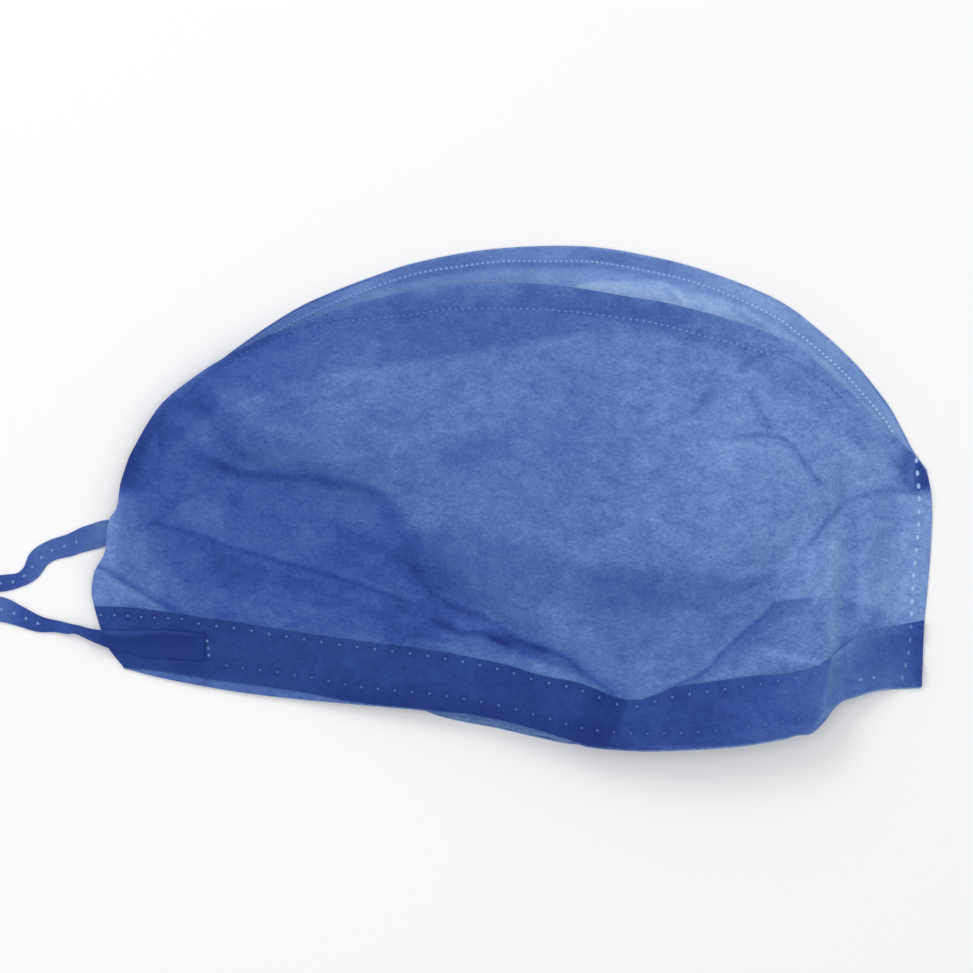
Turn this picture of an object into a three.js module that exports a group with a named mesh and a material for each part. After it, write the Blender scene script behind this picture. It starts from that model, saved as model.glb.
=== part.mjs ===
// A disposable tie-back theatre cap of thin bonded cloth, lying on its side on a table.
// The right half-moon panel is on top and billows; the left one is flat underneath.
// +X runs towards the forehead, +Y towards the crown, +Z up from the table. Millimetres.
import * as THREE from 'three';

// Driving sizes.
const CLOTH = 1.2; // wall of every cloth piece, measured upright
const SEAT = 0.3; // clear space where one flat cloth lies on another
const GAP = 0.4; // clear space between two cloths that billow together
const LEAF_GAP = 0.6; // clear space between the crown strip's two leaves at their fold
const STEP_RAMP = 5; // length over which a cloth comes down off a layer under it
const DRAPE_FROM = 9; // the upper cloth starts to rise this far before what lies under it
const DRAPE_TO = 3; // and is clear of it from here on
const DRAPE_BLEND = 0.8; // roundness of that rise
const TAB_RAMP = 14; // length over which the left band comes down off the tie's tab
const EDGE_INSET = 1; // how far the strip's raw edges stay inside the panels' rims
const FOLD_NOSE = 1.5; // how far the strip's fold reaches past its two leaves
const TIE_WIDTH = 9.5;
const RIGHT_TAB_END = -89; // where each tie's welded tab ends, along the cap
const LEFT_TAB_END = -96;
const BACK_DROP = { from: -122, to: -127.5 }; // where the right tie leaves its band
const END_HOLD = 12; // how soon an outline leaves its corner for its own line
const END_EASE = 0.056; // how much closer the columns stand towards both ends

// Heights of the flat stack on the table.
const BAND_STACK = CLOTH + SEAT;
const LEAF_TOP = BAND_STACK + CLOTH;
const FOLD_TOP = LEAF_TOP + LEAF_GAP + CLOTH;

// The right panel and its band, a row for each section from the back to the forehead.
// hem, bandTop and rim are places up the crown direction; margin is how far the panel shows
// below its band; hemLift and rimLift are the heights of the panel's underside at its two edges.
const RIGHT_SECTIONS = [
  { x: -128, hem: -57.0, margin: 0.7, bandTop: -38.0, rim: 0.0, hemLift: 0.0, rimLift: 4.6 },
  { x: -117, hem: -59.7, margin: 0.7, bandTop: -38.4, rim: 10.0, hemLift: 0.0, rimLift: 4.8 },
  { x: -105, hem: -62.8, margin: 2.5, bandTop: -39.6, rim: 31.0, hemLift: 0.0, rimLift: 5.0 },
  { x: -91, hem: -65.6, margin: 3.1, bandTop: -41.8, rim: 43.5, hemLift: 0.3, rimLift: 5.2 },
  { x: -77, hem: -68.0, margin: 3.4, bandTop: -43.7, rim: 53.5, hemLift: 0.6, rimLift: 5.8 },
  { x: -56, hem: -70.5, margin: 3.1, bandTop: -47.0, rim: 62.5, hemLift: 1.5, rimLift: 6.6 },
  { x: -35, hem: -72.3, margin: 0.8, bandTop: -50.0, rim: 68.8, hemLift: 3.8, rimLift: 7.6 },
  { x: -10, hem: -74.6, margin: 0.7, bandTop: -53.2, rim: 73.0, hemLift: 6.4, rimLift: 8.6 },
  { x: 14, hem: -78.6, margin: 0.7, bandTop: -57.6, rim: 74.7, hemLift: 8.8, rimLift: 9.6 },
  { x: 28, hem: -82.3, margin: 0.7, bandTop: -61.8, rim: 74.7, hemLift: 10.4, rimLift: 10.0 },
  { x: 42, hem: -86.3, margin: 0.7, bandTop: -64.6, rim: 73.7, hemLift: 12.2, rimLift: 10.0 },
  { x: 59, hem: -88.0, margin: 0.7, bandTop: -70.4, rim: 70.9, hemLift: 14.6, rimLift: 9.8 },
  { x: 72, hem: -88.0, margin: 0.7, bandTop: -67.4, rim: 68.8, hemLift: 16.2, rimLift: 9.4 },
  { x: 98, hem: -86.3, margin: 0.7, bandTop: -63.5, rim: 61.5, hemLift: 17.2, rimLift: 8.6 },
  { x: 119, hem: -82.9, margin: 0.7, bandTop: -60.0, rim: 53.3, hemLift: 15.6, rimLift: 7.4 },
  { x: 124, hem: -82.2, margin: 0.7, bandTop: -58.4, rim: 50.2, hemLift: 14.0, rimLift: 7.0 },
  { x: 128, hem: -77.8, margin: 0.7, bandTop: -56.6, rim: 47.5, hemLift: 12.0, rimLift: 6.6 },
  { x: 133, hem: -72.0, margin: 0.7, bandTop: -52.6, rim: 43.4, hemLift: 9.2, rimLift: 6.2 },
  { x: 140, hem: -69.1, margin: 0.7, bandTop: -48.2, rim: 36.5, hemLift: 6.6, rimLift: 5.6 },
  { x: 147, hem: -67.4, margin: 0.7, bandTop: -46.0, rim: 28.0, hemLift: 5.2, rimLift: 5.1 },
  { x: 162, hem: -66.7, margin: 0.7, bandTop: -43.0, rim: 11.0, hemLift: 4.2, rimLift: 4.6 },
];

// The left panel and its band, and fold, the line where the crown strip turns back on itself.
const LEFT_SECTIONS = [
  { x: -120, hem: -27.0, bandTop: -6.0, fold: 4.0, rim: 8.0 },
  { x: -108, hem: -34.0, bandTop: -10.0, fold: 11.0, rim: 23.5 },
  { x: -91, hem: -42.0, bandTop: -16.0, fold: 27.0, rim: 41.8 },
  { x: -77, hem: -47.0, bandTop: -21.0, fold: 34.0, rim: 53.2 },
  { x: -56, hem: -54.5, bandTop: -28.5, fold: 42.0, rim: 66.7 },
  { x: -35, hem: -62.5, bandTop: -36.5, fold: 45.5, rim: 76.2 },
  { x: -10, hem: -74.9, bandTop: -46.0, fold: 49.5, rim: 83.4 },
  { x: 14, hem: -80.3, bandTop: -54.5, fold: 53.5, rim: 87.2 },
  { x: 42, hem: -86.3, bandTop: -62.5, fold: 58.0, rim: 88.0 },
  { x: 60, hem: -87.0, bandTop: -64.5, fold: 58.5, rim: 85.8 },
  { x: 84, hem: -86.2, bandTop: -64.0, fold: 55.0, rim: 80.1 },
  { x: 112, hem: -82.6, bandTop: -61.0, fold: 39.5, rim: 68.9 },
  { x: 126, hem: -76.6, bandTop: -55.0, fold: 27.5, rim: 58.6 },
  { x: 133, hem: -70.6, bandTop: -50.0, fold: 22.0, rim: 52.3 },
  { x: 140, hem: -68.3, bandTop: -47.0, fold: 17.0, rim: 45.3 },
  { x: 152, hem: -66.4, bandTop: -45.0, fold: 11.0, rim: 29.4 },
  { x: 164, hem: -66.0, bandTop: -44.0, fold: 7.0, rim: 9.5 },
];

// The four upright edges, a row for each height up the crown direction.
const EDGE_SECTIONS = [
  { y: -90, backRight: -117.3, frontRight: 161.6, backLeft: -119.5, frontLeft: 162.0 },
  { y: -60, backRight: -117.3, frontRight: 161.6, backLeft: -119.5, frontLeft: 162.0 },
  { y: -52, backRight: -122.9, frontRight: 161.8, backLeft: -119.5, frontLeft: 162.2 },
  { y: -42, backRight: -126.4, frontRight: 162.4, backLeft: -119.5, frontLeft: 162.8 },
  { y: -33, backRight: -128.4, frontRight: 163.3, backLeft: -119.5, frontLeft: 163.7 },
  { y: -25, backRight: -127.0, frontRight: 164.0, backLeft: -119.5, frontLeft: 164.4 },
  { y: -20, backRight: -123.9, frontRight: 164.4, backLeft: -119.5, frontLeft: 164.8 },
  { y: -8, backRight: -122.2, frontRight: 165.0, backLeft: -118.0, frontLeft: 165.4 },
  { y: -4, backRight: -119.6, frontRight: 165.1, backLeft: -117.0, frontLeft: 165.5 },
  { y: 5, backRight: -118.1, frontRight: 164.5, backLeft: -115.5, frontLeft: 164.9 },
  { y: 10, backRight: -116.6, frontRight: 163.0, backLeft: -114.0, frontLeft: 164.0 },
  { y: 15, backRight: -115.0, frontRight: 159.3, backLeft: -112.4, frontLeft: 160.4 },
  { y: 21, backRight: -111.8, frontRight: 154.4, backLeft: -109.3, frontLeft: 156.4 },
];
const CORNER_HEIGHTS = {
  right: { backHem: -59.7, backBand: -38, backRim: 21, frontHem: -66.7, frontBand: -43, frontRim: 15 },
  left: { backHem: -27, backBand: -6, backRim: 21, frontHem: -66, frontBand: -44, frontRim: 10 },
};

// Where the upper cloth stands proud of the straight span between its edges.
const SWELLS = [
  { x: 58, y: 2, reachX: 98, reachY: 62, rise: 17 },
  { x: -48, y: 26, reachX: 62, reachY: 34, rise: 8 },
  { x: -48, y: -42, reachX: 52, reachY: 26, rise: 5 },
  { x: -112, y: -14, reachX: 24, reachY: 30, rise: 4 },
  { x: 148, y: -24, reachX: 18, reachY: 36, rise: 2.5 },
  { x: 165, y: -20, reachX: 22, reachY: 34, rise: -2.4 },
];

// Creases in the upper cloth, each a straight valley; a negative depth is a ridge.
const CREASES = [
  { x1: 48, y1: -76, x2: 20, y2: -50, depth: 4, width: 6 },
  { x1: 20, y1: -50, x2: -11, y2: -33, depth: 5, width: 7 },
  { x1: -11, y1: -33, x2: -28, y2: 0, depth: 5, width: 8 },
  { x1: -28, y1: 0, x2: -78, y2: 9, depth: 3.5, width: 7 },
  { x1: -78, y1: 9, x2: -102, y2: 28, depth: 2, width: 6 },
  { x1: -100, y1: -11, x2: -12, y2: -40, depth: 2, width: 6 },
  { x1: 80, y1: -66, x2: 98, y2: -43, depth: 3, width: 6 },
  { x1: 98, y1: -43, x2: 124, y2: -36, depth: 2, width: 6 },
  { x1: 108, y1: -26, x2: 138, y2: 3, depth: 3.5, width: 7 },
  { x1: 92, y1: 21, x2: 106, y2: 22, depth: 2, width: 6 },
  { x1: 106, y1: 22, x2: 128, y2: 3, depth: 2.5, width: 6 },
  { x1: 103, y1: 48, x2: 84, y2: 33, depth: 2, width: 5 },
  { x1: 127, y1: 0, x2: 126, y2: -74, depth: -3, width: 5 },
  { x1: 135, y1: 0, x2: 134, y2: -66, depth: 2.5, width: 5 },
];

// The ties, a row for each station from the welded tab to the cut end. rise is the height of the
// underside above the table, and on the right band the tab's underside follows the band instead.
const RIGHT_TIE = [
  { x: RIGHT_TAB_END, y: -52.2, width: 9.4, rise: 4 },
  { x: -104, y: -51.2, width: 9.6, rise: 4 },
  { x: -118, y: -50.6, width: 8.4, rise: 4 },
  { x: -127, y: -48.8, width: 5.6, rise: 4 },
  { x: -133, y: -46.9, width: 4.2, rise: 2.2 },
  { x: -140, y: -45.2, width: 4.0, rise: 0.5 },
  { x: -147, y: -44.2, width: 5.6, rise: 0 },
  { x: -154, y: -41.4, width: 7.0, rise: 0 },
  { x: -160, y: -39.2, width: 8.6, rise: 0 },
  { x: -164.6, y: -38.8, width: 8.8, rise: 0 },
];
const LEFT_TIE = [
  { x: LEFT_TAB_END, y: -24.0, width: TIE_WIDTH, rise: 0 },
  { x: -104, y: -19.6, width: TIE_WIDTH, rise: 0 },
  { x: -112, y: -15.4, width: TIE_WIDTH, rise: 0 },
  { x: -121.4, y: -12.2, width: 9.2, rise: 0 },
  { x: -129, y: -14.0, width: 8.8, rise: 0 },
  { x: -136, y: -16.0, width: 8.2, rise: 0 },
  { x: -142.8, y: -18.0, width: 7.6, rise: 0 },
  { x: -147.0, y: -20.8, width: 7.6, rise: 0 },
  { x: -149.4, y: -25.0, width: 6.6, rise: 0 },
  { x: -153, y: -28.0, width: 5.6, rise: 0 },
  { x: -158.5, y: -29.8, width: 5.8, rise: 0 },
  { x: -165.2, y: -30.2, width: 5.8, rise: 0 },
];

const clamp = THREE.MathUtils.clamp;
const lerp = THREE.MathUtils.lerp;
const smoothstep = THREE.MathUtils.smoothstep;

// A smooth curve through one column of a table, read at a value of its key column.
function curve(rows, key, name) {
  const last = rows.length - 1;
  const slope = (i) => {
    const a = rows[Math.max(i - 1, 0)];
    const b = rows[Math.min(i + 1, last)];
    return (b[name] - a[name]) / (b[key] - a[key]);
  };
  return (at) => {
    const inside = clamp(at, rows[0][key], rows[last][key]);
    let i = 0;
    while (i < last - 1 && rows[i + 1][key] < inside) i += 1;
    const span = rows[i + 1][key] - rows[i][key];
    const t = (inside - rows[i][key]) / span;
    const startPart = (1 + 2 * t) * (1 - t) ** 2 * rows[i][name] + t * (1 - t) ** 2 * span * slope(i);
    const endPart = t * t * (3 - 2 * t) * rows[i + 1][name] - t * t * (1 - t) * span * slope(i + 1);
    return startPart + endPart;
  };
}

const rightHem = curve(RIGHT_SECTIONS, 'x', 'hem');
const rightMargin = curve(RIGHT_SECTIONS, 'x', 'margin');
const rightBandTop = curve(RIGHT_SECTIONS, 'x', 'bandTop');
const rightRim = curve(RIGHT_SECTIONS, 'x', 'rim');
const hemLift = curve(RIGHT_SECTIONS, 'x', 'hemLift');
const rimLift = curve(RIGHT_SECTIONS, 'x', 'rimLift');
const leftHem = curve(LEFT_SECTIONS, 'x', 'hem');
const leftBandTop = curve(LEFT_SECTIONS, 'x', 'bandTop');
const leftRim = curve(LEFT_SECTIONS, 'x', 'rim');
const foldLine = curve(LEFT_SECTIONS, 'x', 'fold');
const backRight = curve(EDGE_SECTIONS, 'y', 'backRight');
const frontRight = curve(EDGE_SECTIONS, 'y', 'frontRight');
const backLeft = curve(EDGE_SECTIONS, 'y', 'backLeft');
const frontLeft = curve(EDGE_SECTIONS, 'y', 'frontLeft');

// A patch of cloth seen from above, spanned between a lower and an upper line, each given by its
// place at x, and the two upright edges; (s, t) both run from 0 to 1.
function patch(lower, upper, back, front, heights) {
  const corner = (edge, y) => ({ x: edge(y), y });
  const c00 = corner(back, heights.backLow);
  const c10 = corner(front, heights.frontLow);
  const c01 = corner(back, heights.backHigh);
  const c11 = corner(front, heights.frontHigh);
  const along = (line, a, b, s) => {
    const x = lerp(a.x, b.x, s);
    const atBack = (a.y - line(a.x)) * (1 - s) ** END_HOLD;
    const atFront = (b.y - line(b.x)) * s ** END_HOLD;
    return { x, y: line(x) + atBack + atFront };
  };
  const up = (edge, a, b, t) => {
    const y = lerp(a.y, b.y, t);
    return { x: edge(y), y };
  };
  return (s, t) => {
    const low = along(lower, c00, c10, s);
    const high = along(upper, c01, c11, s);
    const left = up(back, c00, c01, t);
    const right = up(front, c10, c11, t);
    const blend = (k) => {
      const ruled = (1 - t) * low[k] + t * high[k] + (1 - s) * left[k] + s * right[k];
      const corners = (1 - t) * lerp(c00[k], c10[k], s) + t * lerp(c01[k], c11[k], s);
      return ruled - corners;
    };
    return { x: blend('x'), y: blend('y') };
  };
}

const rightCorners = CORNER_HEIGHTS.right;
const leftCorners = CORNER_HEIGHTS.left;
const rightLower = patch(rightHem, rightBandTop, backRight, frontRight, {
  backLow: rightCorners.backHem,
  backHigh: rightCorners.backBand,
  frontLow: rightCorners.frontHem,
  frontHigh: rightCorners.frontBand,
});
const rightUpper = patch(rightBandTop, rightRim, backRight, frontRight, {
  backLow: rightCorners.backBand,
  backHigh: rightCorners.backRim,
  frontLow: rightCorners.frontBand,
  frontHigh: rightCorners.frontRim,
});
const leftLower = patch(leftHem, leftBandTop, backLeft, frontLeft, {
  backLow: leftCorners.backHem,
  backHigh: leftCorners.backBand,
  frontLow: leftCorners.frontHem,
  frontHigh: leftCorners.frontBand,
});
const leftUpper = patch(leftBandTop, leftRim, backLeft, frontLeft, {
  backLow: leftCorners.backBand,
  backHigh: leftCorners.backRim,
  frontLow: leftCorners.frontBand,
  frontHigh: leftCorners.frontRim,
});

// How far the left cloth is held up by its band and by the tie's tab under that.
function underLeftBand(x) {
  const clear = LEFT_TAB_END + 8;
  return BAND_STACK * (1 - smoothstep(x, clear, clear + TAB_RAMP));
}
function leftUnderside(x, y, clearOf = 0) {
  const bandTop = leftBandTop(x) + clearOf;
  const onBand = 1 - smoothstep(y, bandTop + 0.2, bandTop + STEP_RAMP);
  return (underLeftBand(x) + BAND_STACK) * onBand;
}

// The least height of the upper cloth's underside, over what lies beneath it.
function support(x, y) {
  const inFrom = (at, edge) => smoothstep(at, edge - DRAPE_FROM, edge - DRAPE_TO);
  const fromBack = inFrom(x, backLeft(y));
  const overLeft = (leftUnderside(x, y, STEP_RAMP) + CLOTH + 2 * GAP) * inFrom(y, leftHem(x));
  const overStrip = (FOLD_TOP + GAP) * inFrom(y, foldLine(x));
  return Math.max(overLeft, overStrip) * fromBack;
}

function swellAt(swell, x, y) {
  const r2 = ((x - swell.x) / swell.reachX) ** 2 + ((y - swell.y) / swell.reachY) ** 2;
  return r2 < 1 ? swell.rise * (1 - r2) ** 2 : 0;
}

function creaseAt(crease, x, y) {
  const runX = crease.x2 - crease.x1;
  const runY = crease.y2 - crease.y1;
  const share = ((x - crease.x1) * runX + (y - crease.y1) * runY) / (runX ** 2 + runY ** 2);
  const near = clamp(share, 0, 1);
  const away = Math.hypot(x - crease.x1 - near * runX, y - crease.y1 - near * runY);
  return crease.depth * Math.exp(-((away / crease.width) ** 2));
}

function rightUnderside(x, y) {
  const across = clamp((y - rightHem(x)) / (rightRim(x) - rightHem(x)), 0, 1);
  let z = lerp(hemLift(x), rimLift(x), across);
  for (const swell of SWELLS) z += swellAt(swell, x, y);
  for (const crease of CREASES) z -= creaseAt(crease, x, y);
  const least = support(x, y);
  return 0.5 * (z + least + Math.hypot(z - least, DRAPE_BLEND));
}

// A closed sheet: a thin box with columns along s and rows up t, each corner moved by place,
// which gives a point for (column, row, side), side being 1 on the upper face and 0 on the lower.
function sheet(columns, rows, place) {
  const geometry = new THREE.BoxGeometry(1, 1, 1, columns, rows, 1);
  const corners = geometry.attributes.position;
  for (let i = 0; i < corners.count; i += 1) {
    const column = Math.round((corners.getX(i) + 0.5) * columns);
    const row = Math.round((corners.getY(i) + 0.5) * rows);
    const side = corners.getZ(i) > 0 ? 1 : 0;
    const p = place(column, row, side);
    corners.setXYZ(i, p.x, p.y, p.z);
  }
  matchDiagonals(geometry);
  geometry.computeVertexNormals();
  return geometry;
}

// Turns the split of each four-sided cell on the lower face the way the upper face is split, so
// that the two faces stay parallel and stacked sheets keep an even gap.
function matchDiagonals(geometry) {
  const lowerFace = geometry.groups[5];
  const index = geometry.index.array;
  for (let i = lowerFace.start; i < lowerFace.start + lowerFace.count; i += 6) {
    const [a, b, d, , c] = index.slice(i, i + 6);
    index.set([a, b, c, a, c, d], i);
  }
}

// Columns stand closer together towards both ends, where the outlines turn.
const ease = (share) => share - Math.sin(2 * Math.PI * share) * END_EASE;

const RIGHT_COLUMNS = 52;
const BAND_ROWS = 3;
const RIGHT_ROWS = 19;

// Rows 0 to BAND_ROWS + 1 lie in the band's zone: the raw edge, the band's foot, then up it.
function rightPlan(columnIndex, row) {
  const s = ease(columnIndex / RIGHT_COLUMNS);
  if (row > BAND_ROWS + 1) return rightUpper(s, (row - BAND_ROWS - 1) / RIGHT_ROWS);
  const edge = rightLower(s, 0);
  const top = rightLower(s, 1);
  const foot = rightMargin(edge.x) / (top.y - edge.y);
  const t = row === 0 ? 0 : lerp(foot, 1, (row - 1) / BAND_ROWS);
  return rightLower(s, t);
}

const rightPanelShape = sheet(RIGHT_COLUMNS, BAND_ROWS + 1 + RIGHT_ROWS, (c, r, side) => {
  const p = rightPlan(c, r);
  return { ...p, z: rightUnderside(p.x, p.y) + side * CLOTH };
});

const rightBandShape = sheet(RIGHT_COLUMNS, BAND_ROWS, (c, r, side) => {
  const p = rightPlan(c, r + 1);
  return { ...p, z: rightUnderside(p.x, p.y) + CLOTH + GAP + side * CLOTH };
});

const LEFT_COLUMNS = 40;
const LEFT_ROWS = 5;

// Rows 0 to BAND_ROWS are over the band, the next comes down off it, the rest lie on the table.
function leftPlan(columnIndex, row) {
  const s = ease(columnIndex / LEFT_COLUMNS);
  if (row <= BAND_ROWS) return leftLower(s, row / BAND_ROWS);
  const foot = leftUpper(s, 0);
  const top = leftUpper(s, 1);
  const ramp = (STEP_RAMP + 0.5) / (top.y - foot.y);
  return leftUpper(s, lerp(ramp, 1, (row - BAND_ROWS - 1) / LEFT_ROWS));
}

const leftPanelShape = sheet(LEFT_COLUMNS, BAND_ROWS + 1 + LEFT_ROWS, (c, r, side) => {
  const p = leftPlan(c, r);
  return { ...p, z: leftUnderside(p.x, p.y) + side * CLOTH };
});

const leftBandShape = sheet(LEFT_COLUMNS, BAND_ROWS, (c, r, side) => {
  const p = leftPlan(c, r);
  return { ...p, z: underLeftBand(p.x) + side * CLOTH };
});

const STRIP_COLUMNS = 44;
const LEAF_ROWS = 4;
const STRIP_ENDS = { back: -105, front: 156, rimForward: 3 };

// The crown strip runs from the left rim down to its fold and back up to the right rim.
function stripPoint(columnIndex, row, side) {
  const s = ease(columnIndex / STRIP_COLUMNS);
  const x = lerp(STRIP_ENDS.back, STRIP_ENDS.front, s);
  const fold = { x, y: foldLine(x) };
  if (row < LEAF_ROWS) {
    const rimX = x + STRIP_ENDS.rimForward * s;
    const share = row / (LEAF_ROWS - 1);
    const px = lerp(rimX, fold.x, share);
    const py = lerp(leftRim(rimX) - EDGE_INSET, fold.y, share);
    return { x: px, y: py, z: LEAF_TOP - side * CLOTH };
  }
  if (row === LEAF_ROWS) {
    const nose = { x, y: fold.y - FOLD_NOSE + (1 - side) * CLOTH };
    return { ...nose, z: LEAF_TOP + LEAF_GAP / 2 };
  }
  const share = (row - LEAF_ROWS - 1) / (LEAF_ROWS - 1);
  const py = lerp(fold.y, rightRim(x) - EDGE_INSET, share);
  const free = rightUnderside(x, py) - GAP - SEAT;
  const top = lerp(FOLD_TOP, free, share);
  return { x, y: py, z: top - (1 - side) * CLOTH };
}
const stripShape = sheet(STRIP_COLUMNS, 2 * LEAF_ROWS, stripPoint);

// A tie is a ribbon swept along its table's stations; lay gives its underside at a place.
function ribbon(rows, columns, lay) {
  const course = new THREE.CatmullRomCurve3(rows.map((r) => new THREE.Vector3(r.x, r.y, 0)));
  const widths = new THREE.CatmullRomCurve3(rows.map((r, i) => new THREE.Vector3(i, r.width, r.rise)));
  return sheet(columns, 2, (c, r, side) => {
    const t = 1 - c / columns;
    const at = course.getPoint(t);
    const run = course.getTangent(t);
    const half = (r - 1) * widths.getPoint(t).y / 2;
    const x = at.x + run.y * half;
    const y = at.y - run.x * half;
    const rise = Math.max(widths.getPoint(t).z, 0);
    return { x, y, z: lay(x, y, rise) + side * CLOTH };
  });
}

const onRightBand = (x, y, rise) => {
  const seat = rightUnderside(x, y) + 2 * (CLOTH + GAP) + SEAT;
  return lerp(rise, seat, smoothstep(x, BACK_DROP.to, BACK_DROP.from));
};
const rightTieShape = ribbon(RIGHT_TIE, 30, onRightBand);
const leftTieShape = ribbon(LEFT_TIE, 26, (x, y, rise) => rise);

// Each piece with its own cloth finish.
function piece(name, geometry, colour, roughness) {
  const finish = new THREE.MeshStandardMaterial({ color: colour, roughness, metalness: 0 });
  const mesh = new THREE.Mesh(geometry, finish);
  mesh.name = name;
  return mesh;
}

const cap = new THREE.Group();
cap.add(piece('right_side_panel', rightPanelShape, 0x5574b4, 0.85));
cap.add(piece('left_side_panel', leftPanelShape, 0x6480b8, 0.85));
cap.add(piece('crown_strip', stripShape, 0x7d98cb, 0.85));
cap.add(piece('right_hem_band', rightBandShape, 0x2f4280, 0.8));
cap.add(piece('left_hem_band', leftBandShape, 0x3a4f90, 0.8));
cap.add(piece('right_tie', rightTieShape, 0x44599a, 0.8));
cap.add(piece('left_tie', leftTieShape, 0x4f68a8, 0.8));

export default cap;
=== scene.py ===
# %% [markdown]
# # A tie-back theatre cap
# Two half-moon side panels of thin bonded cloth, a crown strip folded in between them, folded
# hem bands and two flat ties lie on a pale table, the front towards +X, the crown towards +Y.
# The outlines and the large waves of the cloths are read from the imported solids. Folds, seams
# and welds are then given as lines in millimetres on the plan.

import bmesh
import bpy
import numpy as np
from mathutils import Matrix, Vector, noise
from mathutils.bvhtree import BVHTree


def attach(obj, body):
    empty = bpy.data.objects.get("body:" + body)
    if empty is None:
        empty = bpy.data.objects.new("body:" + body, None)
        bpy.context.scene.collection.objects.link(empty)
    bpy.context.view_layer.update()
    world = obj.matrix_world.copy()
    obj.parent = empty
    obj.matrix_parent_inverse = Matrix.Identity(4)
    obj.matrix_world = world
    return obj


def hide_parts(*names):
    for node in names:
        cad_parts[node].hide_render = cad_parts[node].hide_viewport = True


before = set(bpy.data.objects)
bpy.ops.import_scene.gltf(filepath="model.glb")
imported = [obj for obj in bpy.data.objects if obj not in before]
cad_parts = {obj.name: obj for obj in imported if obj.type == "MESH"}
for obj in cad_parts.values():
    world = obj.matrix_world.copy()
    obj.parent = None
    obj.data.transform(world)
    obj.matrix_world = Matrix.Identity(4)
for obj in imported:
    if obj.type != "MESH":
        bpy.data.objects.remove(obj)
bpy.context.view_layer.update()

MM = 0.001
print("solids:", sorted(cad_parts))

# %% [markdown]
# ## Small helpers
# Everything in Blender is data, such as a mesh or a lamp, held by an object. These put new
# data into the scene, and turn a swatch's colour into the linear numbers that light needs.


# %% Helpers
def linear(code):
    """A colour such as "#5875b1" as the linear numbers that a shader takes."""
    parts = [int(code[i:i + 2], 16) / 255 for i in (1, 3, 5)]
    return [p / 12.92 if p <= 0.04045 else ((p + 0.055) / 1.055) ** 2.4 for p in parts]


def mm(values):
    """Numbers or places given in millimetres."""
    return np.array(values) * MM


def add_object(name, data):
    """Puts new data into the scene."""
    thing = bpy.data.objects.new(name, data)
    bpy.context.scene.collection.objects.link(thing)
    return thing


def add_lamp(name, place, size, power):
    """A round soft lamp that looks at the cap."""
    lamp = bpy.data.lights.new(name, "AREA")
    lamp.shape = "DISK"
    lamp.size = size
    lamp.energy = power
    thing = add_object(name, lamp)
    thing.location = place
    thing.rotation_mode = "QUATERNION"
    thing.rotation_quaternion = (-Vector(place)).to_track_quat("-Z", "Y")
    return thing


print("a mid blue is", np.round(linear("#5875b1"), 2))

# %% [markdown]
# ## The light
# Thin cloth shows its folds by small changes of shade, and hard lamps would hide them. A bright
# surround alone would leave them flat, so two large soft lamps light one flank of each more.

# %% Light
SURROUND_STRENGTH = 0.62
surround = bpy.data.worlds.new("bright_surround")
bpy.context.scene.world = surround
surround.use_nodes = True
backdrop = surround.node_tree.nodes["Background"]
backdrop.inputs["Color"].default_value = (1, 1, 1, 1)
backdrop.inputs["Strength"].default_value = SURROUND_STRENGTH
lamps = [add_lamp("crown_side_lamp", place=(-0.7, 1.0, 1.2), size=0.9, power=7),
         add_lamp("overhead_lamp", place=(0, 0, 1.5), size=1.0, power=5.3)]
print("lamps:", [lamp.name for lamp in lamps])

# %% [markdown]
# ## The table
# A plain pale table carries the cap.

# %% Table
TABLE_SIZE = 12.0
TABLE_WHITE = (0.97, 0.97, 0.975, 1)
bm = bmesh.new()
bmesh.ops.create_grid(bm, x_segments=1, y_segments=1, size=TABLE_SIZE / 2)
table_mesh = bpy.data.meshes.new("table")
bm.to_mesh(table_mesh)
bm.free()
table = add_object("table", table_mesh)
table_paint = bpy.data.materials.new("table_paint")
table_paint.use_nodes = True
table_shader = table_paint.node_tree.nodes["Principled BSDF"]
table_shader.inputs["Base Color"].default_value = TABLE_WHITE
table_shader.inputs["Roughness"].default_value = 0.9
table_mesh.materials.append(table_paint)
print("table:", TABLE_SIZE, "m wide")

# %% [markdown]
# ## The camera
# It looks straight down on the cap. A wide lens close by would lean the lifted cloth outwards;
# a long lens from far off keeps the outline true.

# %% Camera
VIEW_CENTRE = Vector((9.6, 3.9, 0.0)) * MM
VIEW_WIDTH = 0.3406
LENS, SENSOR = 200.0, 36.0
camera = add_object("camera", bpy.data.cameras.new("camera"))
camera.data.lens = LENS
camera.data.sensor_width = SENSOR
camera.location = VIEW_CENTRE + Vector((0, 0, VIEW_WIDTH * LENS / SENSOR))
bpy.context.scene.camera = camera
bpy.context.scene.view_settings.view_transform = "Standard"
print("camera height:", round(camera.location.z, 3))

# %% [markdown]
# ## Reading the cut of a cloth from its solid
# Each solid is a wall of cloth. Its upper face alone holds what is wanted here: the outline of
# the cut, and how high the cloth lies. Typed in again, the outline could drift from the solid.
# So the boundary of the upper face is walked, edge by edge.


# %% Outlines
SAME_PLACE = 0.001 * MM
LOOKS_UP = 0.02


def upper_faces(node):
    """The faces of a solid that look up, as a bmesh."""
    cloth = bmesh.new()
    cloth.from_mesh(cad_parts[node].data)
    bmesh.ops.remove_doubles(cloth, verts=cloth.verts, dist=SAME_PLACE)
    cloth.normal_update()
    low = [face for face in cloth.faces if face.normal.z < LOOKS_UP]
    bmesh.ops.delete(cloth, geom=low, context="FACES")
    return cloth


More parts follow.
